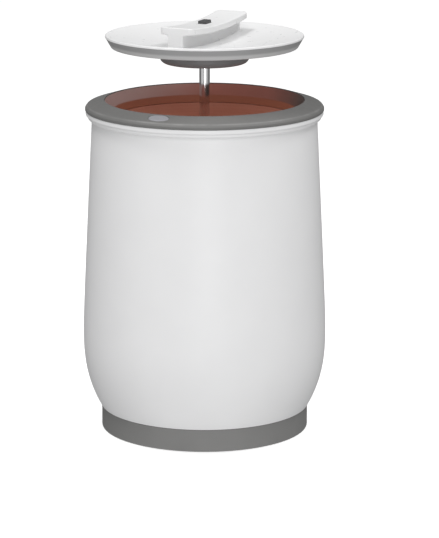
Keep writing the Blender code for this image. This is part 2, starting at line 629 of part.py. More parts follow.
def make_handle(mats, parent):
    corner = HANDLE_HALF_LENGTH - HANDLE_CORNER
    near_end = [corner + HANDLE_CORNER * math.sin(math.radians(a)) for a in (0, 30, 55, 75, 90)]
    inside = spread(0.0, corner, 7)[:-1]
    positive = inside + near_end
    stations = [-y for y in positive[:0:-1]] + positive
    bm = bmesh.new()
    rings = []
    for y in stations:
        half = handle_section(y)
        outline = half + [(-x, z) for x, z in half[::-1]]
        rings.append([bm.verts.new((x, y, z)) for x, z in outline])
    for first, second in zip(rings, rings[1:]):
        bridge(bm, first, second)
    bm.faces.new(rings[0][::-1])
    bm.faces.new(rings[-1])
    handle = place("lid_handle", bm, mats["white_plastic"], parent)
    half_x = HANDLE_BUTTON[0] / 2 + 0.4
    half_y = HANDLE_BUTTON[1] / 2 + 0.4
    low, high = HANDLE_BUTTON_Z
    pocket = block_mesh((-half_x, -half_y, low - BUTTON_TRAVEL_ROOM), (half_x, half_y, high + 10))
    boolean(handle, place("button_pocket_cutter", pocket, parent=parent), "DIFFERENCE")
    drill(handle, "spring_bore", SPRING_BORE_R, SPRING_FLOOR_Z, low, [(0, 0)])
    drill(handle, "pin_bore", PIN_HOLE_R, LID_BOTTOM_Z, SPRING_FLOOR_Z + 1, [(0, 0)])
    drill(handle, "screw_bore", 2.1, LID_BOTTOM_Z, LID_TOP_Z + 2,
          [(0, LID_SCREW_Y), (0, -LID_SCREW_Y)])
    make_spring(mats, parent, SPRING_FLOOR_Z + 0.9, low - 0.9)


def make_spring(mats, parent, low, high, turns=4, per_turn=12):
    """Coil that pushes the handle's button up."""
    coil = []
    for i in range(turns * per_turn + 1):
        angle = 2 * math.pi * i / per_turn
        height = low + (high - low) * i / (turns * per_turn)
        coil.append(Vector((SPRING_R * math.cos(angle), SPRING_R * math.sin(angle), height)))
    place("button_spring", swept_mesh(coil, SPRING_WIRE_R, 6), mats["steel"], parent)


def make_handle_button(mats, lid_axis):
    axis = axis_empty("handle_button_axis", (0, 0, HANDLE_BUTTON_Z[0]), lid_axis)
    half_x, half_y = (side / 2 for side in HANDLE_BUTTON)
    low, high = HANDLE_BUTTON_Z
    block("handle_button", (-half_x, -half_y, low), (half_x, half_y, high), mats["button_dark"],
          1.0, axis)
    pin_low = ROD_Z[0] - 2.6
    turned("release_pin", rod_section(PIN_R, pin_low, low - GAP), mats["steel"], 12, parent=axis)
    cone_top = pin_low - GAP
    turned("lock_cone", [(0, cone_top - 6.0), (2.6, cone_top - 6.0), (3.9, cone_top - 4.6),
                         (2.2, cone_top), (0, cone_top)], mats["steel"], 16, parent=axis)


def main():
    clear_scene()
    mats = make_materials()
    make_shell(mats)
    make_rim(mats)
    make_chamber(mats)
    turning = make_post(mats)
    make_base(mats)
    make_electronics(mats)
    make_power_button(mats)
    lid_axis = axis_empty("lid_lift_axis", (0, 0, LID_BOTTOM_Z), turning)
    make_lid(mats, lid_axis)
    make_handle(mats, lid_axis)
    make_handle_button(mats, lid_axis)


main()
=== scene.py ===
"""Looks of the round towel warmer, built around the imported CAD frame.

Lengths are in millimetres, and MM turns them into Blender's metres. The bucket stands on the floor
with its axis on Z, and its front, with the power button, faces -Y.
"""

import math

import bmesh
import bpy
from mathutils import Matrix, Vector
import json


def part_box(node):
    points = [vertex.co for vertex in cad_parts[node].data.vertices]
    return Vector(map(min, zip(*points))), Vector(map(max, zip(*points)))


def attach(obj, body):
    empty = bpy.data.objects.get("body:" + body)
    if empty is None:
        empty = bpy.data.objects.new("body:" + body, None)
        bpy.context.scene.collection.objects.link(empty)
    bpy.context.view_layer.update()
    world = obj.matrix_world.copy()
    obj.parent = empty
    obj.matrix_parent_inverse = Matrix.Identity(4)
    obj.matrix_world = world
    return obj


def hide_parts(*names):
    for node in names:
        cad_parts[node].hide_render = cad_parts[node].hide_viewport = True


MM = 0.001
TURN = 256
SMALL_TURN = 96
SCREW_TURN = 48
ARC = 7

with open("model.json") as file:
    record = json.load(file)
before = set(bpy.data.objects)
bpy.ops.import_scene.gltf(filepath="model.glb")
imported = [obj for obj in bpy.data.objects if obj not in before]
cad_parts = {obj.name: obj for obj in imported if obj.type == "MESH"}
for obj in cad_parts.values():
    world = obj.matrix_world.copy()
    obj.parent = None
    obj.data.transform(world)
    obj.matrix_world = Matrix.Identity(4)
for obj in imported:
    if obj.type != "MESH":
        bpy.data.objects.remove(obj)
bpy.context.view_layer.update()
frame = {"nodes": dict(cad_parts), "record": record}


def low_of(node):
    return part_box(node)[0] / MM


def high_of(node):
    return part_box(node)[1] / MM


# Bucket, from the frame's solids.
SHELL_R = high_of("outer_shell").x
SHELL_Z = (low_of("outer_shell").z, high_of("outer_shell").z)
SHELL_WIDEST_Z = 120.0
SHELL_TAPER = 0.0507
SHELL_TAPER_EASE = 24.0
SHELL_BOTTOM_DROP = 21.4
SHELL_BOTTOM_POWER = 2.5
SHELL_WALL = 2.8
SHELL_HOLE_R = 118.0
RIM_R = high_of("rim_ring").x
RIM_BOTTOM_Z = low_of("seat_collar").z + 10.9
CREST_R = 121.7
CREST_Z = high_of("rim_ring").z
RIM_SLOPE = 0.30
SEAT_R = 113.0
CHAMBER_R = 112.7
CHAMBER_Z = (low_of("heat_chamber").z, high_of("heat_chamber").z)
BASE_R = high_of("base_ring").x
BASE_Z = (low_of("base_ring").z, high_of("base_ring").z)
COVER_Z = (low_of("bottom_cover").z, 6.0)
POWER_BUTTON_AT = (low_of("power_button") + high_of("power_button")) / 2
POWER_BUTTON_HALF = (high_of("power_button") - low_of("power_button")) / 2

# Lid, from the frame's solids.
LID_R = high_of("lid_top").x
LID_TOP_Z = high_of("lid_top").z
LID_EDGE_Z = LID_TOP_Z - 2.5
LID_BOTTOM_Z = low_of("lid_under").z
LID_BOTTOM_R = LID_R - 7.3
DISH_DEPTH = 10.0
DISH_R = 120.0
HUB_R = high_of("hub_cover").x
HUB_Z = (low_of("hub_cover").z, high_of("hub_cover").z)
HANDLE_HALF = (high_of("lid_handle") - low_of("lid_handle")) / 2
HANDLE_RISE = 5.2
HANDLE_TOP_Z = high_of("lid_handle").z - HANDLE_RISE
HANDLE_CORNER = 7.0
PLATE_DEPTH = 8.0
PLATE_ROOT_DROP = 1.6
STEM_HALF = 10.0
KEY_HALF = (high_of("handle_button") - low_of("handle_button")) / 2
KEY_Z = (low_of("handle_button").z, high_of("handle_button").z)
ROD_R = high_of("lift_rod").x
ROD_Z = (low_of("lift_rod").z, high_of("lift_rod").z)
POST_R = 9.5
POST_FLANGE_R = high_of("lid_post").x
POST_Z = (low_of("lid_post").z, high_of("lid_post").z)

# Camera: where it stands round the object, how high, and what it aims at.
CAMERA_AZIMUTH = 24.3
CAMERA_DISTANCE = 3291.2
CAMERA_HEIGHT = 970.4
CAMERA_AIM_Z = 197.5
CAMERA_LENS = 183.0
CAMERA_SHIFT_X = 0.0277


# Materials ---------------------------------------------------------------------------------------


class Nodes:
    """A material's node tree, with short calls for what the finishes below share."""

    def __init__(self, name, colour, roughness, metallic=0.0, **fixed):
        self.material = bpy.data.materials.new(name)
        self.material.use_nodes = True
        self.tree = self.material.node_tree
        self.shader = self.tree.nodes["Principled BSDF"]
        self.shader.inputs["Base Color"].default_value = (*colour, 1.0)
        self.shader.inputs["Roughness"].default_value = roughness
        self.shader.inputs["Metallic"].default_value = metallic
        for socket, value in fixed.items():
            self.shader.inputs[socket.replace("_", " ")].default_value = value
        self.place = self.add("ShaderNodeTexCoord").outputs["Object"]

    def add(self, kind, **inputs):
        node = self.tree.nodes.new(kind)
        for socket, value in inputs.items():
            self.put(node.inputs[socket], value)
        return node

    def put(self, socket, value):
        if isinstance(value, bpy.types.NodeSocket):
            self.tree.links.new(value, socket)
        else:
            socket.default_value = value

    def math(self, operation, first, second=0.0):
        node = self.tree.nodes.new("ShaderNodeMath")
        node.operation = operation
        self.put(node.inputs[0], first)
        self.put(node.inputs[1], second)
        return node.outputs[0]

    def span(self, value, low, high, to_low, to_high):
        """Value from one range onto another, held at its ends."""
        node = self.add("ShaderNodeMapRange", Value=value)
        for socket, number in (("From Min", low), ("From Max", high),
                               ("To Min", to_low), ("To Max", to_high)):
            node.inputs[socket].default_value = number
        return node.outputs["Result"]

    def stretched(self, scale):
        mapping = self.add("ShaderNodeMapping", Vector=self.place)
        mapping.inputs["Scale"].default_value = scale
        return mapping.outputs["Vector"]

    def noise(self, size_mm, detail=3.0, place=None):
        """Noise from 0 to 1 whose features are about that size."""
        node = self.add("ShaderNodeTexNoise", Vector=place or self.place, Detail=detail)
        node.inputs["Scale"].default_value = 1 / (size_mm * MM)
        return node.outputs["Fac"]

    def mix(self, factor, first, second):
        node = self.tree.nodes.new("ShaderNodeMix")
        node.data_type = "RGBA"
        for socket, value in zip((node.inputs[0], node.inputs[6], node.inputs[7]),
                                 (factor, first, second)):
            self.put(socket, (*value, 1.0) if isinstance(value, tuple) else value)
        return node.outputs[2]

    def axis_parts(self):
        return self.add("ShaderNodeSeparateXYZ", Vector=self.place).outputs

    def axis_distance(self):
        """Distance from the object's axis, in metres."""
        x, y, _ = self.axis_parts()
        squares = self.math("ADD", self.math("MULTIPLY", x, x), self.math("MULTIPLY", y, y))
        return self.math("SQRT", squares)

    def plain(self):
        """The colour that set_colour was last given."""
        return self.shader.inputs["Base Color"].links[0].from_socket

    def set_colour(self, value):
        self.put(self.shader.inputs["Base Color"], value)

    def set_roughness(self, value):
        self.put(self.shader.inputs["Roughness"], value)

    def bump(self, height, depth_mm, strength=1.0):
        node = self.add("ShaderNodeBump", Height=height)
        node.inputs["Strength"].default_value = strength
        node.inputs["Distance"].default_value = depth_mm * MM
        previous = self.shader.inputs["Normal"].links
        if previous:
            self.put(node.inputs["Normal"], previous[0].from_socket)
        self.put(self.shader.inputs["Normal"], node.outputs["Normal"])


def shade(colour, factor):
    return tuple(min(1.0, part * factor) for part in colour)


def moulded(name, colour, roughness, grain_mm, grain_depth, mottle=0.05, **fixed):
    """Injection-moulded plastic: a fine eroded grain, faint flow mottling and uneven gloss."""
    nodes = Nodes(name, colour, roughness, **fixed)
    cloud = nodes.span(nodes.noise(38.0, 4.0), 0.3, 0.7, 0.0, 1.0)
    nodes.set_colour(nodes.mix(cloud, shade(colour, 1 - mottle), shade(colour, 1 + mottle)))
    gloss = nodes.noise(9.0, 5.0)
    nodes.set_roughness(nodes.span(gloss, 0.3, 0.7, roughness - 0.03, roughness + 0.04))
    nodes.bump(nodes.noise(grain_mm, 2.0), grain_depth)
    nodes.bump(nodes.noise(30.0, 1.0), 0.05, 0.4)
    return nodes


def white_plastic():
    return moulded("white_abs", (0.80, 0.80, 0.805), 0.36, 0.7, 0.006, 0.008,
                   Specular_IOR_Level=0.35).material


def lid_plastic():
    return moulded("white_abs_gloss", (0.74, 0.74, 0.742), 0.30, 0.9, 0.001, 0.004,
                   Specular_IOR_Level=0.3).material


def skirt_plastic():
    """Grey of the lid's skirt, with a painted highlight making it paler along its lower half."""
    nodes = moulded("skirt_grey", (0.33, 0.33, 0.333), 0.38, 0.8, 0.008, 0.02)
    _, _, z = nodes.axis_parts()
    # Painted highlight: the skirt's lower band is mixed towards a paler grey.
    low = nodes.span(z, (LID_BOTTOM_Z + 4.0) * MM, (LID_BOTTOM_Z + 6.5) * MM, 1.0, 0.0)
    nodes.set_colour(nodes.mix(low, nodes.plain(), (0.52, 0.52, 0.52)))
    return nodes.material


def rim_plastic():
    """Grey plastic with a spark-eroded grain, and a painted highlight in patches along the ring's outer
    break.
    """
    colour = (0.165, 0.164, 0.160)
    nodes = moulded("rim_grey_grain", colour, 0.50, 0.8, 0.022, 0.03, Specular_IOR_Level=0.35)
    # Painted highlight: a lighter band, broken into patches, along the ring's outer break.
    highlight_r = 143.2
    away = nodes.math("ABSOLUTE", nodes.math("SUBTRACT", nodes.axis_distance(), highlight_r * MM))
    break_line = nodes.span(away, 0.2 * MM, 1.6 * MM, 1.0, 0.0)
    patches = nodes.span(nodes.noise(24.0, 3.0), 0.4, 0.65, 0.25, 1.0)
    break_highlight = nodes.math("MULTIPLY", break_line, patches)
    break_highlight = nodes.math("MULTIPLY", break_highlight, 0.55)
    nodes.set_colour(nodes.mix(break_highlight, nodes.plain(), shade(colour, 1.75)))
    return nodes.material


def base_plastic():
    return moulded("base_grey_grain", (0.212, 0.211, 0.207), 0.50, 0.8, 0.022, 0.03,
                   Specular_IOR_Level=0.35).material


def seat_plastic():
    """Red-brown seat, with a painted reflection paling it at its left, painted shade darkening it at its
    right and a painted warm glow along its lower band.
    """
    nodes = moulded("seat_red_brown_painted_light", (0.400, 0.150, 0.115), 0.36, 0.8, 0.012, 0.04)
    x, _, z = nodes.axis_parts()
    across = nodes.span(x, -120 * MM, 118 * MM, 0.0, 1.0)
    # Painted shade: the seat's right end is mixed towards near black.
    right_shade_share = nodes.span(across, 0.66, 0.94, 0.0, 0.95)
    right_painted_shade = nodes.mix(right_shade_share, nodes.plain(), (0.085, 0.065, 0.055))
    # Painted reflection: the seat's left end is mixed towards a pale pinkish grey.
    left_painted_reflection = nodes.mix(nodes.span(across, 0.34, 0.02, 0.0, 0.75), right_painted_shade, (0.480, 0.350, 0.330))
    # Painted warm glow: the seat's lower band, next to the chamber, is mixed towards a warmer red-brown.
    low = nodes.span(z, 395.5 * MM, 397.5 * MM, 1.0, 0.0)
    nodes.set_colour(nodes.mix(low, left_painted_reflection, (0.450, 0.175, 0.108)))
    return nodes.material


def chamber_metal():
    """Anodised aluminium liner, red-brown, with fine drawing marks round it, heat staining, and painted
    shade darkening it towards its floor.
    """
    colour = (0.600, 0.285, 0.205)
    nodes = Nodes("liner_anodised", colour, 0.42, 0.2)
    rings = nodes.noise(60.0, 6.0, nodes.stretched((0.12, 0.12, 24.0)))
    stain = nodes.noise(70.0, 4.0)
    _, _, z = nodes.axis_parts()
    depth = nodes.span(z, CHAMBER_Z[0] * MM, CHAMBER_Z[1] * MM, 0.0, 1.0)
    # Painted shade: darker towards the liner's floor, lighter towards its top.
    depth_painted_shade = nodes.mix(depth, shade(colour, 0.72), shade(colour, 1.10))
    stained = nodes.mix(nodes.span(stain, 0.35, 0.7, 0.0, 0.45), depth_painted_shade, (0.520, 0.180, 0.110))
    nodes.set_colour(nodes.mix(nodes.span(rings, 0.3, 0.7, 0.0, 0.25), stained, shade(colour, 1.3)))
    nodes.set_roughness(nodes.span(rings, 0.25, 0.75, 0.34, 0.52))
    nodes.bump(rings, 0.03, 0.6)
    return nodes.material


def dark_plastic(name, colour, roughness):
    return moulded(name, colour, roughness, 0.6, 0.014, 0.06).material


def key_plastic():
    """Soft-touch power button: pale grey with a faint pearl fleck."""
    colour = (0.290, 0.290, 0.312)
    nodes = moulded("power_key_grey", colour, 0.38, 0.5, 0.006, 0.03)
    fleck = nodes.span(nodes.noise(0.9, 6.0), 0.52, 0.62, 0.0, 0.22)
    nodes.set_colour(nodes.mix(fleck, nodes.plain(), shade(colour, 1.5)))
    return nodes.material


def chrome():
    """Plated rod: mirror-like, with hairline polishing marks along it and faint slide wear."""
    nodes = Nodes("chrome_plate", (0.80, 0.80, 0.81), 0.08, 1.0)
    hairs = nodes.noise(2.0, 4.0, nodes.stretched((6.0, 6.0, 0.05)))
    wear = nodes.noise(16.0, 5.0, nodes.stretched((1.0, 1.0, 0.25)))
    nodes.set_roughness(nodes.math("ADD", nodes.span(hairs, 0.3, 0.7, 0.05, 0.13),
                                   nodes.span(wear, 0.55, 0.75, 0.0, 0.12)))
    nodes.set_colour(nodes.mix(nodes.span(wear, 0.4, 0.7, 0.0, 0.5), (0.82, 0.82, 0.83),
                               (0.68, 0.67, 0.66)))
    nodes.bump(hairs, 0.004, 0.5)
    return nodes.material


def brushed_steel():
    nodes = Nodes("brushed_steel", (0.50, 0.50, 0.51), 0.34, 1.0)
    strokes = nodes.noise(5.0, 5.0, nodes.stretched((0.4, 0.4, 14.0)))
    spots = nodes.noise(22.0, 4.0)
    nodes.set_colour(nodes.mix(nodes.span(spots, 0.4, 0.7, 0.0, 1.0), (0.54, 0.54, 0.55),
                               (0.40, 0.39, 0.37)))
    nodes.set_roughness(nodes.span(strokes, 0.3, 0.7, 0.24, 0.46))
    nodes.bump(strokes, 0.02, 0.5)
    return nodes.material


def rubber():
    """Matt black rubber with a pebbled skin and pale scuffs where it meets the floor."""
    nodes = Nodes("foot_rubber", (0.028, 0.028, 0.028), 0.82)
    scuff = nodes.span(nodes.noise(3.0, 6.0), 0.55, 0.72, 0.0, 1.0)
    _, _, z = nodes.axis_parts()
    near_floor = nodes.math("MULTIPLY", scuff, nodes.span(z, 0.0, 2.5 * MM, 1.0, 0.15))
    nodes.set_colour(nodes.mix(near_floor, (0.028, 0.028, 0.028), (0.16, 0.155, 0.15)))
    nodes.set_roughness(nodes.span(nodes.noise(1.2, 3.0), 0.3, 0.7, 0.72, 0.92))
    nodes.bump(nodes.noise(0.5, 3.0), 0.06, 0.7)
    return nodes.material


def fibre(name, colour, size_mm, depth):
    """Matted fibre, such as glass wool or a felted pad."""
    nodes = Nodes(name, colour, 0.95, Sheen_Weight=0.35)
    strands = nodes.noise(size_mm, 8.0, nodes.stretched((1.0, 1.0, 3.0)))
    clumps = nodes.noise(size_mm * 9, 4.0)
    tone = nodes.mix(nodes.span(strands, 0.3, 0.7, 0.0, 1.0), shade(colour, 0.72), shade(colour, 1.12))
    nodes.set_colour(nodes.mix(nodes.span(clumps, 0.4, 0.7, 0.0, 0.35), tone, shade(colour, 0.8)))
    nodes.bump(strands, depth)
    return nodes.material


def closed_foam():
    """Bead foam: pale cells with thin darker walls."""
    nodes = Nodes("lid_foam", (0.80, 0.79, 0.75), 0.9)
    cells = nodes.add("ShaderNodeTexVoronoi", Vector=nodes.place)
    cells.inputs["Scale"].default_value = 1 / (3.2 * MM)
    edge = nodes.span(cells.outputs["Distance"], 0.25, 0.75, 0.0, 1.0)
    nodes.set_colour(nodes.mix(edge, (0.83, 0.82, 0.78), (0.66, 0.64, 0.58)))
    nodes.bump(nodes.math("SUBTRACT", 1.0, edge), 0.4, 0.8)
    return nodes.material


def silicone_mat():
    """Orange-red heater blanket with the weave of the glass cloth under its skin."""
    nodes = Nodes("heater_silicone", (0.52, 0.11, 0.045), 0.55)
    blanket_r, thread = 116, 1.6
    x, y, z = nodes.axis_parts()
    turn = nodes.math("MULTIPLY", nodes.math("ARCTAN2", y, x), blanket_r / thread)
    warp = nodes.math("SINE", nodes.math("MULTIPLY", turn, math.pi))
    weft = nodes.math("SINE", nodes.math("MULTIPLY", z, math.pi / (thread * MM)))
    weave = nodes.math("MULTIPLY", warp, weft)
    nodes.set_colour(nodes.mix(nodes.span(weave, -1.0, 1.0, 0.0, 1.0), (0.44, 0.085, 0.035),
                               (0.58, 0.135, 0.06)))
    nodes.set_roughness(nodes.span(nodes.noise(12.0, 3.0), 0.3, 0.7, 0.45, 0.65))
    nodes.bump(weave, 0.12, 0.6)
    return nodes.material


def circuit_board():
    """Green solder mask over a faint grid of tracks."""
    nodes = Nodes("board_mask", (0.03, 0.19, 0.075), 0.32, Coat_Weight=0.4)
    tracks = nodes.add("ShaderNodeTexBrick", Vector=nodes.place)
    tracks.inputs["Scale"].default_value = 1 / (9.0 * MM)
    tracks.inputs["Mortar Size"].default_value = 0.05
    tracks.inputs["Color1"].default_value = (0.028, 0.18, 0.07, 1.0)
    tracks.inputs["Color2"].default_value = (0.034, 0.21, 0.085, 1.0)
    tracks.inputs["Mortar"].default_value = (0.07, 0.33, 0.14, 1.0)
    nodes.set_colour(tracks.outputs["Color"])
    nodes.set_roughness(nodes.span(nodes.noise(4.0, 3.0), 0.3, 0.7, 0.26, 0.42))
    nodes.bump(tracks.outputs["Fac"], 0.04, 0.6)
    return nodes.material


def nylon():
    nodes = Nodes("bush_nylon", (0.74, 0.72, 0.65), 0.46, Subsurface_Weight=0.06)
    grain = nodes.noise(6.0, 4.0, nodes.stretched((1.0, 1.0, 5.0)))
    nodes.set_colour(nodes.mix(nodes.span(grain, 0.3, 0.7, 0.0, 1.0), (0.76, 0.74, 0.68),
                               (0.66, 0.63, 0.54)))
    nodes.set_roughness(nodes.span(grain, 0.3, 0.7, 0.38, 0.54))
    nodes.bump(grain, 0.02, 0.5)
    return nodes.material


def lead_jacket():
    nodes = Nodes("lead_jacket", (0.17, 0.17, 0.17), 0.5)
    rub = nodes.noise(3.0, 5.0)
    nodes.set_colour(nodes.mix(nodes.span(rub, 0.35, 0.7, 0.0, 1.0), (0.16, 0.16, 0.16),
                               (0.23, 0.225, 0.22)))
    nodes.set_roughness(nodes.span(rub, 0.3, 0.7, 0.42, 0.62))
    nodes.bump(nodes.noise(0.8, 3.0), 0.02, 0.5)
    return nodes.material


def make_materials():
    """One finish for each of the record's slots, and two that only pieces made here use."""
    return {
        "white_plastic": white_plastic(), "lid_white": lid_plastic(),
        "lid_grey": skirt_plastic(), "rim_grey": rim_plastic(), "base_grey": base_plastic(),
        "seat_brown": seat_plastic(),
        "chamber": chamber_metal(),
        "hub_dark": dark_plastic("hub_charcoal", (0.215, 0.217, 0.22), 0.46),
        "button_dark": dark_plastic("key_charcoal", (0.060, 0.060, 0.062), 0.48),
        "button_light": key_plastic(), "chrome": chrome(), "steel": brushed_steel(),
        "rubber": rubber(), "felt": fibre("glass_wool", (0.66, 0.61, 0.46), 1.4, 0.6),
        "foam": closed_foam(), "silicone": silicone_mat(), "board_green": circuit_board(),
        "component_black": dark_plastic("component_black", (0.022, 0.022, 0.024), 0.42),
        "bush_nylon": nylon(), "lead_grey": lead_jacket(),
    }


# Shapes ------------------------------------------------------------------------------------------


def rounded(corners, steps=ARC):
    """Closed outline through (x, y, radius) corners, each rounded to its radius."""
    outline = []
    for i, (x, y, radius) in enumerate(corners):
        here = Vector((x, y))
        back = Vector(corners[i - 1][:2]) - here
        ahead = Vector(corners[(i + 1) % len(corners)][:2]) - here
        if not radius:
            outline.append(here)
            continue
        half = back.angle(ahead) / 2
        reach = min(radius / math.tan(half), 0.49 * back.length, 0.49 * ahead.length)
        spoke = reach * math.tan(half)
        middle = here + (back.normalized() + ahead.normalized()).normalized() * spoke / math.sin(half)
        first = (here + back.normalized() * reach - middle).normalized()
        last = (here + ahead.normalized() * reach - middle).normalized()
        outline += [middle + spoke * first.slerp(last, k / steps) for k in range(steps + 1)]
    return outline


def as_object(name, bm):
    """Object in the scene from a bmesh in world millimetres, which is used up."""
    bmesh.ops.recalc_face_normals(bm, faces=bm.faces)
    bmesh.ops.scale(bm, vec=(MM, MM, MM), verts=bm.verts)
    mesh = bpy.data.meshes.new(name)
    bm.to_mesh(mesh)
    bm.free()
    obj = bpy.data.objects.new(name, mesh)
    bpy.context.scene.collection.objects.link(obj)
    return obj


def finished(name, bm, mat, slot, body, *nodes, sharp=32.0):
    """Shown piece from a bmesh, smooth, riding on its body in its nodes' place."""
    obj = as_object(name, bm)
    obj.data.materials.append(mat)
    smooth(obj, sharp)
    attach(obj, body)
    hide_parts(*nodes)
    return obj


def smooth(obj, sharp=32.0):
    obj.data.shade_smooth()
    obj.data.set_sharp_from_angle(angle=math.radians(sharp))
    weighted = obj.modifiers.new("even_shading", "WEIGHTED_NORMAL")
    weighted.keep_sharp = True


def turned(outline, segments=TURN, at=(0.0, 0.0, 0.0), direction=None):
    """Mesh turned about Z from a closed outline of (radius, height), then stood at a place."""
    bm = bmesh.new()
    rings = []
    for radius, height in outline:
        if radius < 1e-6:
            rings.append([bm.verts.new((0.0, 0.0, height))])
            continue
        angles = (2 * math.pi * i / segments for i in range(segments))
        rings.append([bm.verts.new((radius * math.cos(a), radius * math.sin(a), height)) for a in angles])
    for first, second in zip(rings, rings[1:] + rings[:1]):
        join_rings(bm, first, second)
    if direction:
        turn = Vector((0, 0, 1)).rotation_difference(Vector(direction)).to_matrix()
        bmesh.ops.rotate(bm, matrix=turn, verts=bm.verts)
    bmesh.ops.translate(bm, vec=at, verts=bm.verts)
    return bm


def join_rings(bm, first, second):
    """Faces between two rings of points, either of which may be one point on the axis."""
    if len(first) == 1 and len(second) == 1:
        return
    count = max(len(first), len(second))
    for i in range(count):
        j = (i + 1) % count
        corners = [first[i % len(first)], first[j % len(first)],
                   second[j % len(second)], second[i % len(second)]]
        bm.faces.new(list(dict.fromkeys(corners)))


def lofted(rings):
    """Mesh through rings of equal length, closed by a flat face at each end."""
    bm = bmesh.new()
    loops = [[bm.verts.new(point) for point in ring] for ring in rings]
    for first, second in zip(loops, loops[1:]):
        join_rings(bm, first, second)
    bm.faces.new(loops[0][::-1])
    bm.faces.new(loops[-1])
    return bm


def cut(obj, *tools):
    """Subtracts each bmesh tool, in world millimetres, from a shown piece for good."""
    for bm in tools:
        tool = as_object("tool", bm)
        modifier = obj.modifiers.new("cut", "BOOLEAN")
        modifier.object = tool
        obj.modifiers["even_shading"].show_viewport = False
        solid = obj.evaluated_get(bpy.context.evaluated_depsgraph_get())
        result = bpy.data.meshes.new_from_object(solid)
        obj.modifiers.clear()
        obj.data = result
        bpy.data.objects.remove(tool)
        smooth(obj)


def oval_rings(half, layers):
    """Rings of an oval round the power button's place. Each layer is (inset, height over the rim)."""
    rings = []
    for inset, height in layers:
        ring = []
        for i in range(SMALL_TURN):
            angle = 2 * math.pi * i / SMALL_TURN
            x = (half[0] - inset) * math.cos(angle)
            y = POWER_BUTTON_AT.y + (half[1] - inset) * math.sin(angle)
            ring.append((x, y, rim_height(math.hypot(x, y)) + height))
        rings.append(ring)
    return rings


def rounded_box(low, high, radius):
    """Upright block with rounded corners in plan."""
    plan = rounded([(low[0], low[1], radius), (high[0], low[1], radius),
                    (high[0], high[1], radius), (low[0], high[1], radius)])
    return lofted([[(x, y, z) for x, y in plan] for z in (low[2], high[2])])


# Bucket ------------------------------------------------------------------------------------------


def shell_radius(z):
    """Outer radius of the barrel: a slight taper upwards, and a round tuck in towards the base."""
    if z >= SHELL_WIDEST_Z:
        rise = z - SHELL_WIDEST_Z
        return SHELL_R - SHELL_TAPER * (math.hypot(rise, SHELL_TAPER_EASE) - SHELL_TAPER_EASE)
    tuck = (SHELL_WIDEST_Z - z) / (SHELL_WIDEST_Z - SHELL_Z[0])
    return SHELL_R - SHELL_BOTTOM_DROP * tuck**SHELL_BOTTOM_POWER


def rim_height(radius):
    return CREST_Z - RIM_SLOPE * (radius - CREST_R)


def dish_height(radius):
    return LID_TOP_Z - DISH_DEPTH * (1 - (radius / DISH_R) ** 2)


def make_barrel(mats):
    """White shell with two beads under the rim, the lower one flowing into the neck."""
    low, top = SHELL_Z
    neck_z = top - 12.6
    neck_r = shell_radius(neck_z)
    bead_r = RIM_R - 0.7
    steps = 56
    heights = [neck_z + (low + 1.2 - neck_z) * i / steps for i in range(steps + 1)]
    side = [Vector((shell_radius(z), z)) for z in heights]
    inner = [Vector((p.x - SHELL_WALL, p.y)) for p in reversed(side) if p.y > low + SHELL_WALL]
    lip = rounded([
        (bead_r - 3.0, top, 0), (bead_r, top, 0.8), (bead_r, top - 5.2, 1.6),
        (bead_r - 2.3, top - 5.7, 0.3), (bead_r - 2.0, top - 6.2, 0.5),
        (bead_r - 2.7, top - 9.3, 2.2), (neck_r + 0.9, top - 10.6, 1.2), (neck_r, neck_z, 0)])
    foot_r = shell_radius(low + 1.2)
    foot = [Vector((foot_r - 0.5, low + 0.3)), Vector((foot_r - 1.4, low)),
            Vector((SHELL_HOLE_R, low)), Vector((SHELL_HOLE_R, low + SHELL_WALL))]
    outline = lip + side[1:] + foot + inner + [Vector((bead_r - 3.0, neck_z + 4))]
    finished("barrel", turned(outline), mats["white_plastic"], "white_plastic", "bucket", "outer_shell")


def make_rim(mats):
    wall = 2.5
    bottom = RIM_BOTTOM_Z
    side_r = RIM_R - wall - 0.7
    skirt_r = CREST_R + wall
    break_r = RIM_R - 2.4
    break_z = rim_height(break_r)
    foot_z = CHAMBER_Z[1]
    outline = rounded([
        (CREST_R, CREST_Z, 0.7), (break_r, break_z, 5.0), (RIM_R, break_z - 3.4, 1.6),
        (RIM_R, bottom, 0.7), (side_r, bottom, 0), (side_r, rim_height(side_r) - wall, 0),
        (skirt_r, rim_height(skirt_r) - wall, 0), (skirt_r, foot_z, 0), (CREST_R, foot_z, 0)])
    rim = finished("rim_ring_shaped", turned(outline), mats["rim_grey"], "rim_grey", "bucket", "rim_ring")
    clearance = 0.45
    half = (POWER_BUTTON_HALF.x + clearance, POWER_BUTTON_HALF.y + clearance)
    cut(rim, lofted(oval_rings(half, [(0, -9.0), (0, 6.0)])))


def make_seat(mats):
    top = CREST_Z - 0.5
    low = low_of("seat_collar").z
    cone_r = CREST_R - 0.4
    cone_z = low + 9.6
    foot_r = high_of("seat_collar").x
    foot_top = low + 2.3
    outer_r = SEAT_R + 2.8
    outline = rounded([
        (cone_r, top, 0.3), (SEAT_R, cone_z, 1.0), (SEAT_R, low, 0.8), (foot_r, low, 0),
        (foot_r, foot_top, 0), (outer_r, foot_top, 0), (outer_r, cone_z, 0), (cone_r, top - 4.7, 0)])
    finished("seat_cone", turned(outline), mats["seat_brown"], "seat_brown", "bucket", "seat_collar")


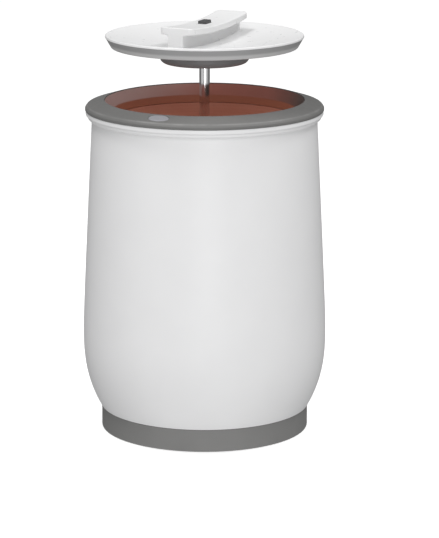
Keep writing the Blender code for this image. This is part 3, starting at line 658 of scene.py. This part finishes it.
def make_chamber(mats):
    """Drawn liner with a rolled shoulder, two stiffening swages and a dished floor corner."""
    under, top = CHAMBER_Z
    wall = 1.3
    floor = under + wall
    bend = 9.0
    flat_r = 60.0
    swage = 0.8
    steps = 8
    inside = [Vector((CHAMBER_R, top))]
    for middle in (top - 60.0, top - 250.0):
        for i in range(steps + 1):
            t = 2 * i / steps - 1
            bulge = swage * 0.5 * (1 + math.cos(math.pi * t))
            inside.append(Vector((CHAMBER_R - bulge, middle - 5.0 * t)))
    outline = rounded([(CHAMBER_R, floor + bend, 0), (CHAMBER_R, floor, bend - 1), (flat_r, floor, 0)])
    inside += outline + [Vector((0, floor))]
    outer_r = CHAMBER_R + wall
    flange_r = high_of("heat_chamber").x
    outside = [Vector((0, under)), *reversed(rounded([
        (outer_r, floor + bend, 0), (outer_r, under, bend), (flat_r, under, 0)])[:-1]),
        Vector((outer_r, top - wall)), Vector((flange_r, top - wall)), Vector((flange_r, top))]
    finished("liner", turned(inside + outside), mats["chamber"], "chamber", "bucket", "heat_chamber")


def make_power_button(mats):
    """Oval cap that follows the ring's slope, with a fillet round it and a shallow finger dish."""
    half = (POWER_BUTTON_HALF.x, POWER_BUTTON_HALF.y)
    proud = 0.25
    edge = 0.8
    layers = [(0.0, -6.0)]
    for i in range(ARC + 1):
        turn = math.pi / 2 * i / ARC
        layers.append((edge * (1 - math.cos(turn)), proud - edge + edge * math.sin(turn)))
    dish = 0.35
    for i in range(1, 6):
        share = i / 6
        inset = edge + share * (half[1] - edge - 0.6)
        layers.append((inset, proud - dish * math.sin(share * math.pi / 2)))
    cap = lofted(oval_rings(half, layers))
    finished("power_cap", cap, mats["button_light"], "button_light", "power_key", "power_button", sharp=50)


def make_base(mats):
    low, high = BASE_Z
    wall = 2.8
    inner_r = BASE_R - wall
    shelf = COVER_Z[1] + 0.3
    outline = rounded([
        (BASE_R, high, 0.5), (BASE_R, low, 0.9), (inner_r, low, 0.4), (inner_r, shelf, 0),
        (SHELL_HOLE_R, shelf, 0), (SHELL_HOLE_R, shelf + 2.5, 0), (inner_r, shelf + 2.5, 0),
        (inner_r, high - 2.5, 0), (SHELL_HOLE_R, high - 2.5, 0), (SHELL_HOLE_R, high, 0)])
    base = finished("base_shaped", turned(outline), mats["base_grey"], "rim_grey", "bucket", "base_ring")
    gland_at = (low_of("cord_gland") + high_of("cord_gland")) / 2
    hole_r = 5.4
    hole = turned([Vector((0, -9)), Vector((hole_r, -9)), Vector((hole_r, 9)), Vector((0, 9))],
                  SCREW_TURN, (0, BASE_R, gland_at.z), (0, 1, 0))
    cut(base, hole)
    out = BASE_R - 10.0
    face = high_of("cord_gland").y
    bore = 3.4
    gland = rounded([
        (bore, out, 0), (5.0, out, 0), (5.0, face - 3.0, 0), (9.0, face - 3.0, 0.4),
        (9.0, face - 1.6, 0.8), (6.6, face - 1.1, 0.5), (5.4, face, 0.6), (bore, face - 1.2, 0.3)], 5)
    finished("gland_bush", turned(gland, SMALL_TURN, (0, 0, gland_at.z), (0, 1, 0)), mats["rubber"],
             "rubber", "bucket", "cord_gland")


def make_underside(mats):
    """Cover with moulded rings and vent slots, then its screws and feet."""
    low, high = COVER_Z
    cover_r = high_of("bottom_cover").x
    outline = rounded([
        (0, low, 0), (30.0, low, 0.3), (30.6, low + 0.6, 0.2), (32.4, low + 0.6, 0.2), (33.0, low, 0.3),
        (86.0, low, 0.3), (86.6, low + 0.6, 0.2), (88.4, low + 0.6, 0.2), (89.0, low, 0.3),
        (cover_r, low, 0.8), (cover_r, high, 0.4), (0, high, 0)], 4)
    cover = finished("underside_cover", turned(outline), mats["base_grey"], "rim_grey", "bucket",
                     "bottom_cover")
    slots = []
    for i in range(6):
        x = -50.0 + 20.0 * i
        slots.append(rounded_box((x - 2.5, -84.0, low - 2), (x + 2.5, -44.0, high + 2), 2.4))
    cut(cover, *slots)
    for i in range(1, 5):
        make_foot(mats, i)
    for i in range(1, 4):
        node = f"cover_screw_{i}"
        middle = (low_of(node) + high_of(node)) / 2
        make_screw(mats, f"cover_screw_shaped_{i}", node, (middle.x, middle.y, low - 0.3),
                   (0, 0, -1), 3.0, 1.7, 1.5, 11.0)


def make_foot(mats, number):
    """Turned rubber foot with a soft edge and a shallow cup in its face."""
    node = f"foot_{number}"
    middle = (low_of(node) + high_of(node)) / 2
    top = high_of(node).z
    radius = 9.0
    outline = rounded([(0, 0.6, 0), (4.2, 0.6, 0.6), (5.0, 0, 0.4), (radius - 0.3, 0, 0.9),
                       (radius, top, 0.4), (0, top, 0)], 5)
    finished(f"rubber_{node}", turned(outline, SMALL_TURN, (middle.x, middle.y, 0)), mats["rubber"],
             "rubber", "bucket", node)


def make_screw(mats, name, node, at, direction, head_r, head_h, shank_r, length, body="bucket"):
    """Pan-head screw whose head starts at a place and faces a direction, with a cross recess."""
    outline = rounded([
        (0, -length, 0), (shank_r * 0.4, -length, 0), (shank_r, 1.5 - length, 0), (shank_r, 0, 0),
        (head_r, 0, 0.2), (head_r, head_h * 0.55, 0.8), (head_r * 0.6, head_h, 0.8), (0, head_h, 0)], 4)
    screw = finished(name, turned(outline, SCREW_TURN, at, direction), mats["steel"], "steel", body, node)
    arm, half = head_r * 0.62, head_r * 0.13
    for x, y in ((arm, half), (half, arm)):
        mouth = [(-x, -y), (x, -y), (x, y), (-x, y)]
        depth, flare = head_h * 0.25, 0.55
        recess = lofted([[(px * s, py * s, z) for px, py in mouth]
                         for s, z in ((flare, depth), (1.0, head_h * 1.05))])
        turn = Vector((0, 0, 1)).rotation_difference(Vector(direction)).to_matrix()
        bmesh.ops.rotate(recess, matrix=turn, verts=recess.verts)
        bmesh.ops.translate(recess, vec=at, verts=recess.verts)
        cut(screw, recess)


def make_post(mats):
    """Post on its screwed flange, and the cap and bush that guide the rod."""
    foot, top = POST_Z
    flange_top = foot + 3.0
    bore = 7.3
    outline = rounded([
        (bore, foot, 0), (POST_FLANGE_R, foot, 0.3), (POST_FLANGE_R, flange_top, 0.9),
        (POST_R, flange_top, 3.0), (POST_R, top, 0.3), (bore, top, 0.3)])
    finished("post_shaped", turned(outline, SMALL_TURN), mats["steel"], "steel", "bucket", "lid_post")
    for i in range(1, 4):
        node = f"post_screw_{i}"
        middle = (low_of(node) + high_of(node)) / 2
        make_screw(mats, f"post_screw_shaped_{i}", node, (middle.x, middle.y, flange_top + 0.3),
                   (0, 0, 1), 3.6, 2.0, 1.9, 9.0)
    cap_low, cap_top = low_of("post_cap").z, high_of("post_cap").z
    cap_r = high_of("post_cap").x
    hole = 8.2
    bush_r = 12.0
    cap = rounded([
        (POST_R + 0.4, cap_low, 0.3), (cap_r, cap_low, 1.0), (cap_r, cap_low + 8.0, 0.3),
        (cap_r - 0.5, cap_low + 8.5, 0.2), (cap_r - 0.5, cap_low + 9.5, 0.2), (cap_r, cap_low + 10.0, 0.3),
        (cap_r, cap_top, 1.6), (hole, cap_top, 0.5), (hole, top + 8.8, 0), (bush_r, top + 8.8, 0),
        (bush_r, top + 0.3, 0), (POST_R + 0.4, top + 0.3, 0)], 5)
    finished("cap_shaped", turned(cap, SMALL_TURN), mats["hub_dark"], "hub_dark", "bucket", "post_cap")
    bush_z = (low_of("guide_bush").z, high_of("guide_bush").z)
    bush = rounded([(ROD_R + 0.45, bush_z[0], 0.3), (bush_r - 0.4, bush_z[0], 0.5),
                    (bush_r - 0.4, bush_z[1], 0.5), (ROD_R + 0.45, bush_z[1], 0.6)], 4)
    finished("bush_shaped", turned(bush, SMALL_TURN), mats["bush_nylon"], "bush_nylon", "lid_bush",
             "guide_bush")


# Lid ---------------------------------------------------------------------------------------------


def make_lid(mats):
    """Dished top with a rolled edge, the tapered skirt under it and the hub round the rod."""
    bore = 2.6
    wall = 2.5
    edge_low = LID_EDGE_Z - 0.2
    roll = 3.2
    plane_r = LID_R - roll
    steps = 30
    dish = [Vector((bore + (plane_r - bore) * i / steps, 0)) for i in range(steps + 1)]
    for point in dish:
        point.y = dish_height(point.x)
    shoulder = rounded([(plane_r, dish_height(plane_r), 0), (LID_R - 0.5, dish_height(LID_R - 0.5), 1.9),
                        (LID_R, LID_EDGE_Z, 0.6), (LID_R, edge_low, 0)])[1:]
    under = [Vector((r, dish_height(r) - wall)) for r in (108, 85, 65, 40, bore)]
    outline = dish + shoulder + [Vector((LID_R - 3.2, edge_low))] + under
    finished("lid_dish", turned(outline), mats["lid_white"], "white_plastic", "lid", "lid_top")

    skirt_top = high_of("lid_under").z
    floor = LID_BOTTOM_Z + 2.3
    groove_r = HUB_R + 6.7
    skirt = rounded([
        (LID_R - 0.3, skirt_top, 0.3), (LID_BOTTOM_R, LID_BOTTOM_Z, 1.6),
        (groove_r + 1.3, LID_BOTTOM_Z, 0.3), (groove_r + 0.7, LID_BOTTOM_Z + 0.5, 0.2),
        (groove_r - 0.7, LID_BOTTOM_Z + 0.5, 0.2), (groove_r - 1.3, LID_BOTTOM_Z, 0.3),
        (bore, LID_BOTTOM_Z, 0), (bore, floor, 0), (LID_BOTTOM_R - 2.1, floor, 0),
        (LID_R - 3.4, skirt_top, 0)])
    finished("lid_skirt", turned(skirt), mats["lid_grey"], "lid_grey", "lid", "lid_under")

    low, high = HUB_Z
    hub_wall = 2.5
    bore = ROD_R + 0.4
    hub = rounded([
        (bore, low, 0.4), (HUB_R, low, 7.5), (HUB_R, high, 0.3), (HUB_R - hub_wall, high, 0),
        (HUB_R - hub_wall, low + hub_wall, 5.5), (bore, low + hub_wall, 0)], 10)
    finished("hub_shaped", turned(hub), mats["hub_dark"], "hub_dark", "lid", "hub_cover")


def make_rod(mats):
    low, high = ROD_Z
    bore = 3.0
    groove_r = ROD_R - 0.4
    outline = rounded([(bore, low, 0), (ROD_R, low, 0.8), (ROD_R, low + 6.0, 0.2),
                       (groove_r, low + 6.4, 0.2), (groove_r, low + 8.0, 0.2),
                       (ROD_R, low + 8.4, 0.2), (ROD_R, high, 0), (bore, high, 0)], 4)
    finished("rod_plated", turned(outline, SMALL_TURN), mats["chrome"], "chrome", "lid", "lift_rod")
    shoe_z = (low_of("lock_shoe").z, high_of("lock_shoe").z)
    shoe_r = high_of("lock_shoe").x
    shoe = finished("shoe_slotted", turned(rounded([
        (4.4, shoe_z[0], 0.3), (shoe_r, shoe_z[0], 0.8), (shoe_r, shoe_z[1], 0.3),
        (4.4, shoe_z[1], 0.2)], 4), SMALL_TURN), mats["bush_nylon"], "bush_nylon", "lid", "lock_shoe")
    reach = shoe_r + 2
    slot_top = shoe_z[0] + 6.5
    for half_x, half_y in ((reach, 0.6), (0.6, reach)):
        cut(shoe, rounded_box((-half_x, -half_y, shoe_z[0] - 1), (half_x, half_y, slot_top), 0.3))


def handle_outline(y, inset):
    """T section at a place along the handle, drawn in by inset where the end is rounded over."""
    along = y / HANDLE_HALF.y
    top = HANDLE_TOP_Z + HANDLE_RISE * along**2
    under = top - PLATE_DEPTH + inset
    past = max(0.0, abs(y) - (HANDLE_HALF.y - HANDLE_CORNER))
    plate = HANDLE_HALF.x - HANDLE_CORNER + math.sqrt(HANDLE_CORNER**2 - past**2) - inset
    stem = STEM_HALF - inset
    foot = dish_height(math.hypot(stem, y)) - 0.2
    right = [(stem, foot, 0), (stem, under - PLATE_ROOT_DROP, 2.6), (plate, under, 1.8),
             (plate, top - inset, 2.1)]
    left = [(-x, z, radius) for x, z, radius in reversed(right)]
    return [(p.x, y, p.y) for p in rounded(right + left)]


def make_handle(mats):
    """Bar of T section on a shallow arc, with its plate's corners rounded in plan."""
    edge = 1.3
    half = HANDLE_HALF.y
    corner = half - HANDLE_CORNER
    spans = 22
    middle = [corner * i / spans for i in range(spans + 1)]
    bend = [corner + HANDLE_CORNER * math.sin(math.radians(a)) for a in range(8, 52, 8)]
    stations = [(y, 0.0) for y in middle + bend if y < half - edge]
    for i in range(ARC + 1):
        turn = math.pi / 2 * i / ARC
        stations.append((half - edge + edge * math.sin(turn), edge * (1 - math.cos(turn))))
    both = [(-y, inset) for y, inset in reversed(stations)] + stations[1:]
    bm = lofted([handle_outline(y, inset) for y, inset in both])
    handle = finished("bar_handle", bm, mats["lid_white"], "white_plastic", "lid", "lid_handle", sharp=38)
    clearance = 0.4
    half_x, half_y = KEY_HALF.x + clearance, KEY_HALF.y + clearance
    cut(handle, rounded_box((-half_x, -half_y, KEY_Z[0] - 3.5), (half_x, half_y, KEY_Z[1] + 8), 1.2))


def make_handle_key(mats):
    """Release button with chamfered shoulders and a slightly hollow top."""
    low, high = KEY_Z
    layers = [(0.5, low, 1.0), (0.1, low + 0.4, 1.2), (0.1, high - 1.0, 1.2), (0.25, high - 0.4, 1.1),
              (0.6, high - 0.1, 1.0), (1.1, high, 0.9), (2.0, high - 0.1, 0.7), (3.2, high - 0.2, 0.4)]
    rings = []
    for inset, z, radius in layers:
        x, y = KEY_HALF.x - inset, KEY_HALF.y - inset
        plan = rounded([(-x, -y, radius), (x, -y, radius), (x, y, radius), (-x, y, radius)])
        rings.append([(px, py, z) for px, py in plan])
    finished("release_key", lofted(rings), mats["button_dark"], "button_dark", "lid_release",
             "handle_button", sharp=40)


def finish_frame_nodes(mats):
    """Gives every node that the frame still shows the finish of its slot."""
    for row in frame["record"]["subparts"]:
        node = frame["nodes"][row["node"]]
        if node.hide_render:
            continue
        node.data.materials.clear()
        node.data.materials.append(mats[row["material_slot"]])


# Studio ------------------------------------------------------------------------------------------

# Levels of the white surroundings: in front and behind, at the sides, and the gain from below.
SKY = 0.68
SIDE_SKY = 0.34
FROM_BELOW = 1.4

# What shiny surfaces mirror: (degrees to the right of the camera as seen from the object, level).
REFLECTED = ((-180, 0.14), (-102, 0.14), (-84, 0.20), (-70, 0.70), (-38, 0.66), (-28, 0.32), (-4, 0.34),
             (8, 0.80), (44, 0.78), (62, 0.42), (90, 0.18), (180, 0.14))

# Soft lights: name, azimuth and elevation in degrees, distance and size in metres, power in watts
# and the height aimed at in metres. Azimuth 0 is in front, on -Y.
LIGHTS = (("key", 27.0, 38.0, 2.6, 1.1, 14.0, 0.35), ("top", 305.0, 68.0, 2.4, 0.8, 24.0, 0.35),
          ("right", 118.0, 58.0, 2.4, 0.8, 18.0, 0.35), ("low", 26.0, 2.0, 1.2, 0.5, 2.6, 0.04))
FILL_Z = 0.24
FILL_SIZE = 0.19
FILL_POWER = 0.085

FLOOR_HALF = 30.0
FLOOR_GLOW = 0.45


def make_camera():
    turn = math.radians(CAMERA_AZIMUTH)
    data = bpy.data.cameras.new("camera")
    data.sensor_width = 36.0
    data.lens = CAMERA_LENS
    data.shift_x = CAMERA_SHIFT_X
    camera = bpy.data.objects.new("camera", data)
    camera.location = Vector((CAMERA_DISTANCE * math.sin(turn), -CAMERA_DISTANCE * math.cos(turn),
                              CAMERA_HEIGHT)) * MM
    look = Vector((0, 0, CAMERA_AIM_Z * MM)) - camera.location
    camera.rotation_euler = look.to_track_quat("-Z", "Y").to_euler()
    bpy.context.scene.collection.objects.link(camera)
    bpy.context.scene.camera = camera


def make_floor():
    """Pale floor, wide enough to be the background of the camera's view."""
    bm = bmesh.new()
    bmesh.ops.create_grid(bm, x_segments=8, y_segments=8, size=FLOOR_HALF)
    mesh = bpy.data.meshes.new("floor")
    bm.to_mesh(mesh)
    bm.free()
    floor = bpy.data.objects.new("floor", mesh)
    bpy.context.scene.collection.objects.link(floor)
    paint = bpy.data.materials.new("floor_white")
    paint.use_nodes = True
    shader = paint.node_tree.nodes["Principled BSDF"]
    shader.inputs["Base Color"].default_value = (0.90, 0.90, 0.90, 1.0)
    shader.inputs["Roughness"].default_value = 0.9
    shader.inputs["Specular IOR Level"].default_value = 0.0
    shader.inputs["Emission Color"].default_value = (1.0, 1.0, 1.0, 1.0)
    shader.inputs["Emission Strength"].default_value = FLOOR_GLOW
    mesh.materials.append(paint)
    floor.visible_diffuse = False
    floor.visible_glossy = False


def area_light(name, size, power):
    data = bpy.data.lights.new(name, "AREA")
    data.size = size
    data.energy = power
    light = bpy.data.objects.new(name, data)
    bpy.context.scene.collection.objects.link(light)
    return light


def place_light(name, azimuth, elevation, distance, size, power, aim_z):
    """Soft square light in a direction round the object, facing a height on its axis."""
    light = area_light(name, size, power)
    turn, lift = math.radians(azimuth), math.radians(elevation)
    aim = Vector((0, 0, aim_z))
    light.location = aim + distance * Vector((math.sin(turn) * math.cos(lift),
                                              -math.cos(turn) * math.cos(lift), math.sin(lift)))
    light.rotation_euler = (aim - light.location).to_track_quat("-Z", "Y").to_euler()


def make_chamber_fill():
    """Weak soft light inside the chamber, so that its walls aren't black under the lid."""
    light = area_light("chamber_fill", FILL_SIZE, FILL_POWER)
    light.data.shape = "DISK"
    light.location = (0, 0, FILL_Z)
    light.rotation_euler = (math.pi, 0, 0)
    light.visible_camera = False
    light.visible_glossy = False


def make_world():
    """White backdrop. It lights the object less from the sides, and shiny surfaces mirror soft boxes."""
    world = bpy.data.worlds.new("studio")
    bpy.context.scene.world = world
    world.use_nodes = True
    tree = world.node_tree
    place = tree.nodes.new("ShaderNodeTexCoord").outputs["Generated"]

    def link(value, socket):
        if isinstance(value, bpy.types.NodeSocket):
            tree.links.new(value, socket)
        else:
            socket.default_value = value

    def along(direction):
        node = tree.nodes.new("ShaderNodeVectorMath")
        node.operation = "DOT_PRODUCT"
        node.inputs[1].default_value = direction
        tree.links.new(place, node.inputs[0])
        return node.outputs["Value"]

    def calculate(operation, first, second=0.0):
        node = tree.nodes.new("ShaderNodeMath")
        node.operation = operation
        link(first, node.inputs[0])
        link(second, node.inputs[1])
        return node.outputs[0]

    def blend(factor, first, second):
        node = tree.nodes.new("ShaderNodeMix")
        for socket, value in ((0, factor), (2, first), (3, second)):
            link(value, node.inputs[socket])
        return node.outputs[0]

    def ranged(value, low, high, to_low, to_high):
        node = tree.nodes.new("ShaderNodeMapRange")
        for socket, number in (("Value", value), ("From Min", low), ("From Max", high),
                               ("To Min", to_low), ("To Max", to_high)):
            link(number, node.inputs[socket])
        return node.outputs["Result"]

    turn = math.radians(CAMERA_AZIMUTH)
    right = along((math.cos(turn), math.sin(turn), 0.0))
    nearer = along((math.sin(turn), -math.cos(turn), 0.0))
    level = ranged(calculate("ABSOLUTE", right), 0.3, 0.95, SKY, SIDE_SKY)
    from_below = ranged(along((0.0, 0.0, 1.0)), 0.0, -0.7, 1.0, FROM_BELOW)

    share = calculate("ADD", calculate("MULTIPLY", calculate("ARCTAN2", right, nearer), 0.5 / math.pi), 0.5)
    ramp = tree.nodes.new("ShaderNodeValToRGB")
    stops = ramp.color_ramp.elements
    while len(stops) < len(REFLECTED):
        stops.new(0.5)
    for stop, (degrees, brightness) in zip(stops, REFLECTED):
        stop.position = degrees / 360 + 0.5
        stop.color = (brightness, brightness, brightness, 1.0)
    link(share, ramp.inputs["Fac"])

    ray = tree.nodes.new("ShaderNodeLightPath").outputs
    soft = calculate("MULTIPLY", level, from_below)
    strength = blend(ray["Is Glossy Ray"], soft, ramp.outputs["Color"])
    link(blend(ray["Is Camera Ray"], strength, 1.0), tree.nodes["Background"].inputs["Strength"])
    tree.nodes["Background"].inputs["Color"].default_value = (1.0, 1.0, 1.0, 1.0)


def make_studio():
    make_camera()
    make_floor()
    make_world()
    make_chamber_fill()
    for light in LIGHTS:
        place_light(*light)
    bpy.context.scene.view_settings.view_transform = "Standard"


def build():
    make_studio()
    mats = make_materials()
    make_barrel(mats)
    make_rim(mats)
    make_seat(mats)
    make_chamber(mats)
    make_power_button(mats)
    make_base(mats)
    make_underside(mats)
    make_post(mats)
    make_lid(mats)
    make_rod(mats)
    make_handle(mats)
    make_handle_key(mats)
    finish_frame_nodes(mats)


build()
